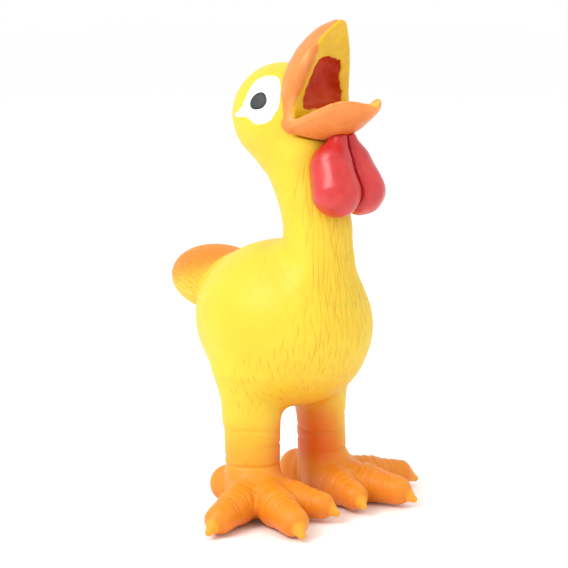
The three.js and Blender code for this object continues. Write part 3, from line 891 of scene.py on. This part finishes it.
def seams(m):
    """Where one piece of the skin ends and the next begins, as signed distances."""
    x, y, z = m.a["base"].T
    s = {}
    s["s_neck"] = np.where(z > 60, -0.6 * y + 0.8 * z - 70, -5)
    s["s_head"] = z - 95
    s["s_tail"] = np.where((z < 85) & (y > 8), 0.8 * y + 0.6 * z - 59.3, -5)
    for side, k in (("left", 1), ("right", -1)):
        s["s_hip_" + side] = np.where((k * x > 0) & (z < 50), 0.6 * k * x - 0.8 * z + 19, -5)
        s["s_flank_" + side] = np.where((z > 36) & (z < 80) & (k * x > 8), 0.9703 * k * x + 0.2419 * z - 35.5, -5)
    s["s_foot"] = np.where(z < 30, 21.5 - z, -5)
    axis = np.array([0, -0.5, 0.8660254])
    d = m.a["base"] - np.array([0, 11.2, 34.6])
    t = d @ axis
    s["s_port"] = np.where(np.abs(t) < 9, 6.7 - length(d - t[:, None] * axis), -5)
    m.a.update(s)
    for key in s:
        cut(m, key)


# ---------------------------------------------------------------- materials
def srgb(r, g, b):
    return tuple(((c / 255) / 12.92 if c / 255 <= 0.04045 else ((c / 255 + 0.055) / 1.055) ** 2.4) for c in (r, g, b)) + (1.0,)


class Nodes:
    """A short way to write a node material."""

    def __init__(self, name):
        self.mat = bpy.data.materials.new(name)
        self.mat.use_nodes = True
        self.t = self.mat.node_tree
        self.t.nodes.clear()
        self.out = self.t.nodes.new("ShaderNodeOutputMaterial")
        self.bsdf = self.t.nodes.new("ShaderNodeBsdfPrincipled")
        self.t.links.new(self.bsdf.outputs[0], self.out.inputs[0])

    def put(self, socket, value):
        if hasattr(value, "is_output"):
            self.t.links.new(value, socket)
        elif value is not None:
            socket.default_value = value

    def attr(self, name, kind="Fac"):
        n = self.t.nodes.new("ShaderNodeAttribute")
        n.attribute_name = name
        return n.outputs[kind]

    def math(self, op, a, b=None, c=None, clamp=False):
        n = self.t.nodes.new("ShaderNodeMath")
        n.operation = op
        n.use_clamp = clamp
        for i, x in enumerate((a, b, c)):
            self.put(n.inputs[i], x)
        return n.outputs[0]

    def step(self, x, a, b, to0=0.0, to1=1.0):
        n = self.t.nodes.new("ShaderNodeMapRange")
        n.interpolation_type = "SMOOTHSTEP"
        self.put(n.inputs[0], x)
        for i, w in enumerate((a, b, to0, to1)):
            n.inputs[i + 1].default_value = w
        return n.outputs[0]

    def mix(self, fac, a, b, blend="MIX"):
        n = self.t.nodes.new("ShaderNodeMix")
        n.data_type = "RGBA"
        n.blend_type = blend
        self.put(n.inputs[0], fac)
        self.put(n.inputs[6], a)
        self.put(n.inputs[7], b)
        return n.outputs[2]

    def noise(self, vector, scale, detail=3.0, rough=0.5, warp=0.0):
        n = self.t.nodes.new("ShaderNodeTexNoise")
        self.put(n.inputs["Vector"], vector)
        n.inputs["Scale"].default_value = scale
        n.inputs["Detail"].default_value = detail
        n.inputs["Roughness"].default_value = rough
        n.inputs["Distortion"].default_value = warp
        return n.outputs[0]

    def voronoi(self, vector, scale, feature="F1"):
        n = self.t.nodes.new("ShaderNodeTexVoronoi")
        n.feature = feature
        self.put(n.inputs["Vector"], vector)
        n.inputs["Scale"].default_value = scale
        return n.outputs["Distance"]

    def scaled(self, vector, sx, sy, sz):
        n = self.t.nodes.new("ShaderNodeMapping")
        self.put(n.inputs[0], vector)
        n.inputs["Scale"].default_value = (sx, sy, sz)
        return n.outputs[0]

    def bump(self, height, distance, strength=1.0, normal=None):
        n = self.t.nodes.new("ShaderNodeBump")
        n.inputs["Strength"].default_value = strength
        n.inputs["Distance"].default_value = distance
        self.put(n.inputs["Height"], height)
        if normal is not None:
            self.put(n.inputs["Normal"], normal)
        return n.outputs[0]

    def finish(self, colour, rough, normal=None, sss=0.0, radius=(1, 0.45, 0.12), sss_scale=0.003, coat=0.0, coat_rough=0.1, ior=1.45, spec=0.5, sheen=0.0):
        b = self.bsdf.inputs
        self.put(b["Base Color"], colour)
        self.put(b["Roughness"], rough)
        if normal is not None:
            self.put(b["Normal"], normal)
        b["IOR"].default_value = ior
        b["Specular IOR Level"].default_value = spec
        b["Subsurface Weight"].default_value = sss
        b["Subsurface Radius"].default_value = radius
        b["Subsurface Scale"].default_value = sss_scale
        self.put(b["Coat Weight"], coat)
        b["Coat Roughness"].default_value = coat_rough
        b["Sheen Weight"].default_value = sheen
        return self.mat


YELLOW = srgb(228, 198, 52)
YELLOW_DEEP = srgb(229, 184, 38)
ORANGE = srgb(222, 104, 14)


def latex_material(name, eye=False, warm=0.0):
    """Matt yellow latex with sprayed orange, plus painted shade on the breast, belly and inner legs; darker in the
    furrows and creases, partly pooled paint and partly painted shade.
    """
    k = Nodes(name)
    rest = k.attr("rest", "Vector")
    big = k.noise(rest, 0.055, 3, 0.5)
    mid = k.noise(rest, 0.35, 4, 0.55)
    fine = k.noise(rest, 4.5, 3, 0.6)
    speck = k.voronoi(rest, 1.6)
    base = k.mix(k.step(big, 0.35, 0.68), YELLOW, srgb(228, 192, 46))
    base = k.mix(k.math("MULTIPLY", k.step(mid, 0.35, 0.75), 0.22), base, YELLOW_DEEP)
    # tint holds sprayed orange and painted shade (breast, belly, inner legs)
    tint = k.attr("tint")
    spray_and_shade = k.math("ADD", tint, k.math("MULTIPLY", k.math("SUBTRACT", mid, 0.5), 0.10))
    base = k.mix(k.step(spray_and_shade, 0.0, 1.0), base, ORANGE)
    # painted shade: feather furrows, knuckle and shin creases and claw cuticles are darkened, partly as pooled paint
    # and partly as the shade that falls in them
    groove = k.math("MAXIMUM", k.attr("groove"), k.math("MULTIPLY", k.attr("crease"), 0.75), clamp=True)
    base = k.mix(k.math("MULTIPLY", k.step(groove, 0.08, 0.85), 0.50), base, srgb(206, 140, 24))
    claw = k.attr("claw")
    base = k.mix(k.math("MULTIPLY", k.step(claw, 0.45, 0.05), 0.55), base, srgb(232, 176, 44))
    base = k.mix(k.math("MULTIPLY", k.step(speck, 0.10, 0.03), 0.10), base, srgb(222, 170, 44))
    rough = k.math("ADD", k.math("MULTIPLY", mid, 0.10), 0.43)
    if eye:
        line = k.attr("eye")
        line = k.math("ADD", line, k.math("MULTIPLY", k.math("SUBTRACT", k.noise(rest, 1.1, 2), 0.5), 0.22))
        white = k.mix(k.step(mid, 0.3, 0.8), srgb(254, 254, 252), srgb(246, 246, 243))
        base = k.mix(k.step(line, 0.10, -0.06), base, white)
        dot = k.attr("pupil")
        dot = k.math("ADD", dot, k.math("MULTIPLY", k.math("SUBTRACT", k.noise(rest, 1.4, 2), 0.5), 0.25))
        # painted shade and sheen: the pupil is darkest at its rim, as the shade round the raised dot's edge, and greyer
        # in the middle, as the sheen on its top
        black = k.mix(k.step(dot, -0.9, -0.1), srgb(62, 62, 64), srgb(26, 26, 28))
        inside = k.step(dot, 0.07, -0.05)
        base = k.mix(inside, base, black)
        rough = k.math("SUBTRACT", rough, k.math("MULTIPLY", inside, 0.12))
    height = k.math("ADD", k.math("MULTIPLY", fine, 0.035), k.math("MULTIPLY", mid, 0.10))
    normal = k.bump(height, 0.001, 0.55)
    return k.finish(base, rough, normal, sss=0.22, radius=(1.0, 0.5, 0.10), sss_scale=0.0025, coat=0.10, coat_rough=0.35, spec=0.35)


def beak_material(name):
    """Orange outside, yellow lining, a painted highlight along the rim ridge, and painted shade at the root under the
    beak.
    """
    k = Nodes(name)
    rest = k.attr("rest", "Vector")
    mid = k.noise(rest, 0.35, 4, 0.55)
    fine = k.noise(rest, 4.0, 3, 0.6)
    orange = k.mix(k.step(mid, 0.32, 0.72), srgb(224, 134, 64), srgb(217, 124, 54))
    # painted shade: deeper orange under the lower beak where the wattles join it
    deep = k.attr("tint")
    orange = k.mix(k.math("MULTIPLY", deep, 0.85), orange, srgb(216, 92, 30))
    lining = k.attr("lining")
    line = k.math("ADD", lining, k.math("MULTIPLY", k.math("SUBTRACT", k.noise(rest, 0.8, 2), 0.5), 0.5))
    yellow = k.mix(k.step(mid, 0.3, 0.7), srgb(223, 180, 20), srgb(216, 168, 18))
    base = k.mix(k.step(line, -0.15, 0.15), orange, yellow)
    # painted highlight: a paler orange band along the rolled rim ridge at the lining's boundary
    edge = k.attr("edge")
    base = k.mix(k.math("MULTIPLY", edge, 0.45), base, srgb(236, 164, 96))
    height = k.math("ADD", k.math("MULTIPLY", fine, 0.03), k.math("MULTIPLY", mid, 0.08))
    normal = k.bump(height, 0.001, 0.5)
    rough = k.math("ADD", k.math("MULTIPLY", mid, 0.12), 0.40)
    return k.finish(base, rough, normal, sss=0.18, radius=(1.0, 0.42, 0.14), sss_scale=0.0022, coat=0.12, coat_rough=0.3, spec=0.35)


def mouth_material(name):
    k = Nodes(name)
    rest = k.attr("rest", "Vector")
    mid = k.noise(rest, 0.30, 4, 0.6)
    streak = k.noise(k.scaled(rest, 1.0, 0.35, 0.5), 1.1, 3, 0.6)
    base = k.mix(k.step(mid, 0.3, 0.7), srgb(190, 50, 18), srgb(170, 35, 13))
    # painted light: lighter red towards the bottom of the pocket, as if lit, darker above in shade
    low = k.attr("tint")
    base = k.mix(low, base, srgb(204, 84, 26))
    base = k.mix(k.math("MULTIPLY", k.step(streak, 0.55, 0.8), 0.25), base, srgb(214, 96, 34))
    normal = k.bump(k.math("ADD", k.math("MULTIPLY", streak, 0.08), k.math("MULTIPLY", mid, 0.15)), 0.001, 0.6)
    return k.finish(base, 0.48, normal, sss=0.1, radius=(1.0, 0.2, 0.1), sss_scale=0.002, spec=0.3)


def wattle_material(name):
    """Glossy red, with painted shade: deeper red towards the crease between the lobes and the root under the beak."""
    k = Nodes(name)
    rest = k.attr("rest", "Vector")
    mid = k.noise(rest, 0.25, 4, 0.55)
    fine = k.noise(rest, 3.0, 3, 0.6)
    base = k.mix(k.step(mid, 0.32, 0.7), srgb(200, 44, 40), srgb(190, 33, 32))
    # painted shade: deeper red in the crease and at the root
    base = k.mix(k.math("MULTIPLY", k.attr("tint"), 0.8), base, srgb(182, 10, 18))
    height = k.math("ADD", k.math("MULTIPLY", fine, 0.02), k.math("MULTIPLY", mid, 0.22))
    normal = k.bump(height, 0.001, 0.5)
    rough = k.math("ADD", k.math("MULTIPLY", mid, 0.14), 0.30)
    return k.finish(base, rough, normal, sss=0.22, radius=(1.0, 0.2, 0.15), sss_scale=0.0025, coat=0.4, coat_rough=0.27, spec=0.5)


def plastic_material(name, colour, rough=0.34):
    """Moulded white plastic: flow marks, gate dust and faint scuffs, from the mesh's own coordinates."""
    k = Nodes(name)
    tex = k.t.nodes.new("ShaderNodeTexCoord").outputs["Object"]
    mid = k.noise(tex, 260.0, 4, 0.55)
    fine = k.noise(tex, 2600.0, 3, 0.6)
    lines = k.noise(k.scaled(tex, 1.0, 1.0, 9.0), 420.0, 2, 0.5)
    base = k.mix(k.step(mid, 0.3, 0.72), colour, tuple(c * 0.90 for c in colour[:3]) + (1.0,))
    base = k.mix(k.math("MULTIPLY", k.step(lines, 0.6, 0.75), 0.16), base, tuple(c * 0.74 for c in colour[:3]) + (1.0,))
    normal = k.bump(k.math("ADD", k.math("MULTIPLY", fine, 0.3), lines), 0.00006, 0.6)
    return k.finish(base, k.math("ADD", k.math("MULTIPLY", mid, 0.16), rough), normal, sss=0.08, sss_scale=0.001, radius=(1, 1, 1), spec=0.5)


def fibre_material(name):
    k = Nodes(name)
    tex = k.t.nodes.new("ShaderNodeTexCoord").outputs["Object"]
    mid = k.noise(tex, 300.0, 5, 0.65)
    strand = k.noise(k.scaled(tex, 1.0, 6.0, 1.0), 900.0, 3, 0.7)
    base = k.mix(k.step(mid, 0.3, 0.7), srgb(244, 243, 238), srgb(222, 220, 212))
    base = k.mix(k.math("MULTIPLY", k.step(strand, 0.5, 0.7), 0.4), base, srgb(252, 252, 250))
    return k.finish(base, 0.85, k.bump(strand, 0.0004, 0.8), sss=0.15, sss_scale=0.002, radius=(1, 1, 1), sheen=0.4, spec=0.2)


skin_mesh = make_skin()


def tint_of(v, n):
    """How much orange goes on: sprayed on the legs, feet and tail top; on the inner legs partly painted shade between
    them; on the breast front and belly underside a wash that is partly sprayed and partly painted shade.
    """
    x, y, z = v.T
    outer = sstep(8, 22, np.abs(x))
    legs = sstep(44, 13, z) * (0.66 - 0.12 * outer * sstep(11, 18, z))
    # painted shade: extra orange on the inner sides of the legs, where shade falls between them
    inner = sstep(18.5, 8, np.abs(x)) * sstep(40, 27, z) * sstep(11, 18, z) * 0.36
    toes = sstep(9, 2, z) * 0.10
    t = legs + inner + toes
    # painted shade: the forward-facing breast and downward-facing belly get an orange wash, partly sprayed and partly
    # standing in for the shade on those sides
    ahead = sstep(-0.05, 0.95, -n[:, 1])
    breast = 0.10 * ahead * sstep(30, 44, z) * sstep(112, 92, z)
    belly = 0.24 * sstep(0.1, 0.85, -n[:, 2]) * sstep(26, 34, z) * sstep(60, 46, z)
    t = np.maximum(t, 0) + (breast + belly) * (1 - np.clip(t, 0, 1))
    onto = sstep(0.2, 1.4, torso(v)) * (z > 50) * (z < 84) * (y > 10)
    top = 0.10 + 0.62 * sstep(63, 76, z + 0.25 * (y - 29))
    t = np.where(onto > 0, t * (1 - onto) + onto * top, t)
    return np.clip(t, 0, 1)


skin_mesh.a["tint"] = tint_of(skin_mesh.a["base"], skin_mesh.a["base_normal"])
seams(skin_mesh)
m = skin_mesh
is_head = beyond(m, "s_head")
is_neck = beyond(m, "s_neck") & ~is_head
is_tail = beyond(m, "s_tail") & ~is_neck & ~is_head
is_foot = beyond(m, "s_foot")
is_port = beyond(m, "s_port")
face_x = m.a["base"][m.f][:, :, 0].mean(1)

latex = latex_material("yellow_latex_skin")
latex_eye = latex_material("yellow_latex_head", eye=True)
KEEP = ("rest", "groove", "crease", "claw", "tint")

rest_of = ~(is_head | is_neck | is_tail | is_foot | is_port)
parts = {}
for side, k in (("left", 1), ("right", -1)):
    leg_ = beyond(m, "s_hip_" + side) & ~is_foot & rest_of
    flank = beyond(m, "s_flank_" + side) & rest_of
    parts[side] = (leg_, flank, is_foot & (face_x * k > 0))
body_faces = rest_of.copy()
for side in parts:
    body_faces &= ~parts[side][0] & ~parts[side][1]

body = build("body_skin", take(m, body_faces, wall=1.8), latex, KEEP)
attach(body, "torso")
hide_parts("torso_skin")

neck = build("neck_piece", take(m, is_neck), latex, KEEP)
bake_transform(neck)
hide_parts("neck_skin")

head = build("head_piece", take(m, is_head), latex_eye, KEEP + ("eye", "pupil"))
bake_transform(head)
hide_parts("head_skin")

tail_ob = build("tail_piece", take(m, is_tail), latex, KEEP)
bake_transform(tail_ob)
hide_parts("tail")

for side, k in (("left", 1), ("right", -1)):
    leg_, flank, foot_ = parts[side]
    ob = build(side + "_flank", take(m, flank, wall=1.8), latex, KEEP)
    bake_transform(ob)
    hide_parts(side + "_flank_panel")
    ob = build(side + "_leg_piece", take(m, leg_), latex, KEEP)
    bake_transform(ob)
    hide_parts(side + "_leg")
    ob = build(side + "_foot_piece", take(m, foot_), latex, KEEP)
    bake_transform(ob)
    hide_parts(side + "_foot")


# ---------------------------------------------------------------- beak and mouth
def make_beak():
    b = surface(beak, (-18, -47, 109), (18, 2, 156), 0.62)
    refine(b)
    settle(b, beak, 0.3, 1)
    v = b.v
    g = gradient(beak, v)
    b.a["base"] = v.copy()
    b.a["base_normal"] = g / np.maximum(length(g), 1e-9)[:, None]
    x, y, z = v.T
    e_u, _ = upper(v)
    e_l, _ = lower(v)
    e_u = np.where(y > np.interp(z, UZ, U_RIM) - 1.5, e_u, 9.0)
    inside = -np.minimum(e_u, e_l)
    near_side = sstep(2, -2, x)
    band = 0.8 + 3.7 * near_side * sstep(123.5, 132, z) * (1 - 0.5 * sstep(141, 149, z))
    sunk = (pocket_outline(v) < 1) & (y > -25) & (y < pocket_floor(v) + 1.3)
    b.a["lining"] = np.clip(np.where((np.abs(mouth_space(v)) < 1.2) | sunk, inside - band, -1.5), -1.5, 3)
    # painted highlight: a band along the rim ridge at the lining's boundary, made paler in the material
    b.a["edge"] = np.exp(-((inside - 0.5 * band) / 0.6) ** 2) * (np.abs(mouth_space(v)) < 2.2)
    # painted shade: the lower beak's underside darkens where the wattles join it
    root = length((v - np.array([0, -29.0, 115.0])) / np.array([5.5, 5.0, 4.5]))
    b.a["tint"] = sstep(1.5, 0.5, root)
    b.a["normal"] = normals(b.v, b.f)
    b.a["rest"] = b.v.copy()
    b.a["s_jaw"] = -0.8 * y - 0.6 * z + 59
    cut(b, "s_jaw")
    return b


bk = make_beak()
orange = beak_material("orange_latex_beak")
BKEEP = ("rest", "lining", "edge", "tint")
is_low = beyond(bk, "s_jaw")
ob = build("upper_beak_piece", take(bk, ~is_low), orange, BKEEP)
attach(ob, "head")
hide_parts("upper_beak")
ob = build("lower_beak_piece", take(bk, is_low), orange, BKEEP)
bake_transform(ob)
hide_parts("lower_beak")

cup = surface(mouth_cup, (-13, -27, 119), (13, -8, 145), 0.5)
cup.a["normal"] = normals(cup.v, cup.f)
cup.a["rest"] = cup.v.copy()
# painted light: the lower part of the red pocket is made lighter, the upper part left darker as shade
cup.a["tint"] = sstep(131, 125, cup.v[:, 2]) * 0.6
cup.corner = cup.a["normal"][cup.f]
ob = build("mouth_lining", cup, mouth_material("dark_red_mouth"), ("rest", "tint"))
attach(ob, "head")
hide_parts("mouth_recess")

# ---------------------------------------------------------------- wattles
red = wattle_material("red_latex_wattle")
wt = surface(wattle, (-1, -40, 89), (15, -17, 120), 0.6)
refine(wt)
settle(wt, wattle, 0.3, 1)
for side, k in (("left", 1), ("right", -1)):
    w = Mesh(wt.v * np.array([k, 1, 1]), wt.f if k > 0 else wt.f[:, ::-1].copy())
    x, y, z = w.v.T
    bumpy = 0.16 * np.sin(x * 0.9 + 1.0 * k) * np.sin(y * 0.7) * np.sin(z * 0.55 + 0.6 * k)
    n0 = normals(w.v, w.f)
    w.v = w.v + (bumpy * sstep(112, 106, z))[:, None] * n0
    w.a["normal"] = normals(w.v, w.f)
    w.a["rest"] = w.v.copy()
    # painted shade: deeper red near the midline crease between the lobes and towards the root under the beak
    w.a["tint"] = np.clip(sstep(2.4, 0.3, np.abs(x)) * 0.9 + sstep(107, 114, z) * 0.5, 0, 1)
    w.corner = w.a["normal"][w.f]
    ob = build(side + "_wattle_piece", w, red, ("rest", "tint"))
    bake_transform(ob)
    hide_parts(side + "_wattle")

# ---------------------------------------------------------------- fibre wad inside
def wad(p):
    d = p - np.array([0, -1, 58.0])
    a = np.sin(d[:, 0] * 0.9 + 1.3 * np.sin(d[:, 2] * 0.5)) * np.sin(d[:, 1] * 0.8 + 0.7) * np.sin(d[:, 2] * 1.0 + 0.9 * np.sin(d[:, 0] * 0.6))
    b = np.sin(d[:, 0] * 2.1 + d[:, 1]) * np.sin(d[:, 1] * 2.3 - d[:, 2]) * np.sin(d[:, 2] * 1.9 + 0.4)
    return ell(p, (0, -1, 58), (13.2, 13.6, 13.2)) + 0.55 * a + 0.28 * b


wd = surface(wad, (-17, -18, 40), (17, 16, 74), 0.75)
wd.a["normal"] = normals(wd.v, wd.f)
wd.corner = wd.a["normal"][wd.f]
ob = build("fibre_wad", wd, fibre_material("polyester_fibre"))
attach(ob, "torso")
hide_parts("fibre_filling")

# ---------------------------------------------------------------- squeaker: CAD shapes, better finish
white = plastic_material("moulded_white_plastic", srgb(240, 240, 236))
cream = plastic_material("moulded_white_plastic_inner", srgb(232, 230, 222), 0.4)
film = plastic_material("reed_film_plastic", srgb(214, 222, 226), 0.16)
for node, mat in (
    ("squeaker_barrel", white), ("squeaker_grille", white), ("squeaker_end_cap", white),
    ("squeaker_reed_bed", cream), ("squeaker_reed_wedge", cream), ("squeaker_reed", film),
):
    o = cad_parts[node]
    o.data.materials.clear()
    o.data.materials.append(mat)

# ---------------------------------------------------------------- floor, light, camera
def stage_material():
    k = Nodes("studio_floor")
    tex = k.t.nodes.new("ShaderNodeTexCoord").outputs["Object"]
    n = k.noise(tex, 40.0, 3)
    return k.finish(k.mix(k.step(n, 0.3, 0.7), (0.995, 0.995, 0.995, 1), (0.99, 0.99, 0.99, 1)), 0.5, spec=0.3)


me = bpy.data.meshes.new("floor")
me.from_pydata([(-4, -4, 0), (4, -4, 0), (4, 4, 0), (-4, 4, 0)], [], [(0, 1, 2, 3)])
floor = bpy.data.objects.new("floor", me)
bpy.context.scene.collection.objects.link(floor)
me.materials.append(stage_material())

scene = bpy.context.scene
world = bpy.data.worlds.new("studio")
scene.world = world
world.use_nodes = True
world.node_tree.nodes["Background"].inputs[0].default_value = (1.0, 1.0, 1.0, 1)
world.node_tree.nodes["Background"].inputs[1].default_value = 1.0
scene.view_settings.view_transform = "Standard"
scene.view_settings.look = "None"

AZ, EL, DIST = math.radians(-44), math.radians(8.5), 0.600
back = Vector((math.sin(AZ) * math.cos(EL), -math.cos(AZ) * math.cos(EL), math.sin(EL)))
right = Vector((math.cos(AZ), math.sin(AZ), 0))
up = right.cross(-back)
target = Vector((0, SHIFT_Y * MM, 0.075))
place = target + DIST * back
aim = target + right * (4 * 0.600 / 1945) - up * (18.5 * 0.600 / 1945)
cam = bpy.data.cameras.new("camera")
cam.sensor_width = 36
cam.lens = 1945 / 568 * 36
cam.clip_start = 0.01
cam_ob = bpy.data.objects.new("camera", cam)
scene.collection.objects.link(cam_ob)
cam_ob.location = place
cam_ob.rotation_euler = (place - aim).to_track_quat("Z", "Y").to_euler()
scene.camera = cam_ob


def area(name, az, el, dist, size, power, colour=(1, 1, 1)):
    """A soft box aimed at the chicken, az measured from the camera's own azimuth."""
    light = bpy.data.lights.new(name, "AREA")
    light.energy = power
    light.size = size
    light.color = colour
    o = bpy.data.objects.new(name, light)
    scene.collection.objects.link(o)
    a, e = AZ + math.radians(az), math.radians(el)
    pos = Vector((math.sin(a) * math.cos(e), -math.cos(a) * math.cos(e), math.sin(e))) * dist + Vector((0, 0, 0.07))
    o.location = pos
    o.rotation_euler = (pos - Vector((0, 0, 0.07))).to_track_quat("Z", "Y").to_euler()
    return o


area("key", -48, 42, 0.9, 0.45, 4.6)
area("fill", 62, 20, 1.1, 0.7, 0.6)
area("top", 10, 80, 1.0, 0.6, 1.2)
